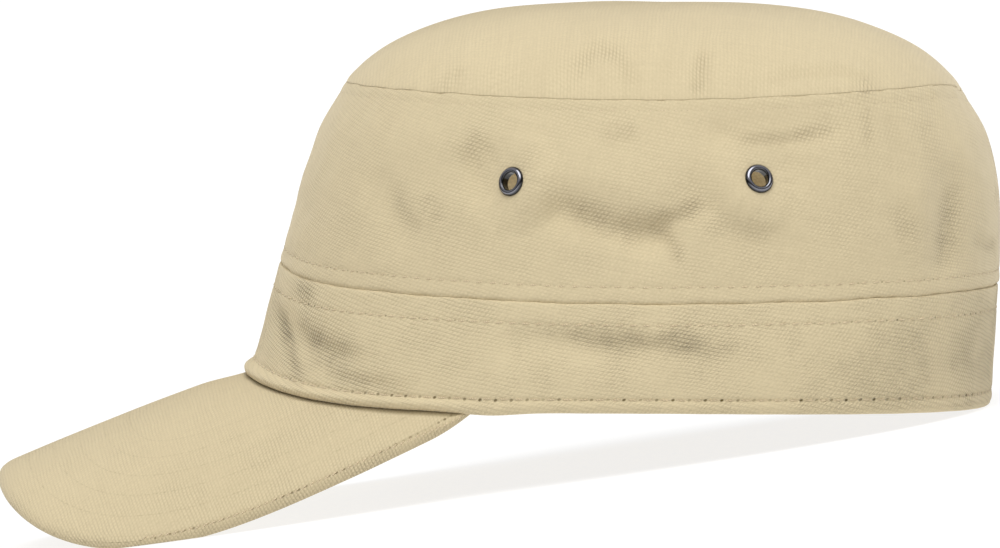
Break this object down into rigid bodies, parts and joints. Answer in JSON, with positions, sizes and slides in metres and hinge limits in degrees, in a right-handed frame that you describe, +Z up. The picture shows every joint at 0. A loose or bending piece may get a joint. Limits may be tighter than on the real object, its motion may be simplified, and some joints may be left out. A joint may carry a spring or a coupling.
{
  "type": "military cap",
  "caption": "Soft cotton field cap with a domed top panel, leaning crown wall with metal vent eyelets, a plain band and a stiff curved peak.",
  "frame": {"origin": "on the surface that the cap rests on, under the middle of its length and width", "axes": "+Z up, the peak points to -Y, the back of the cap to +Y, and +X is the wearer's left"},
  "size_m": [0.1667, 0.2783, 0.1251],
  "materials": {
    "canvas": "sand-coloured cotton canvas, matt",
    "eyelet_metal": "polished nickel"
  },
  "bodies": {
    "root": {"crown_top": "canvas", "crown_wall": "canvas", "band": "canvas", "peak": "canvas", "eyelet_left_front": "eyelet_metal", "eyelet_left_rear": "eyelet_metal", "eyelet_right_front": "eyelet_metal", "eyelet_right_rear": "eyelet_metal"}
  },
  "joints": []
}
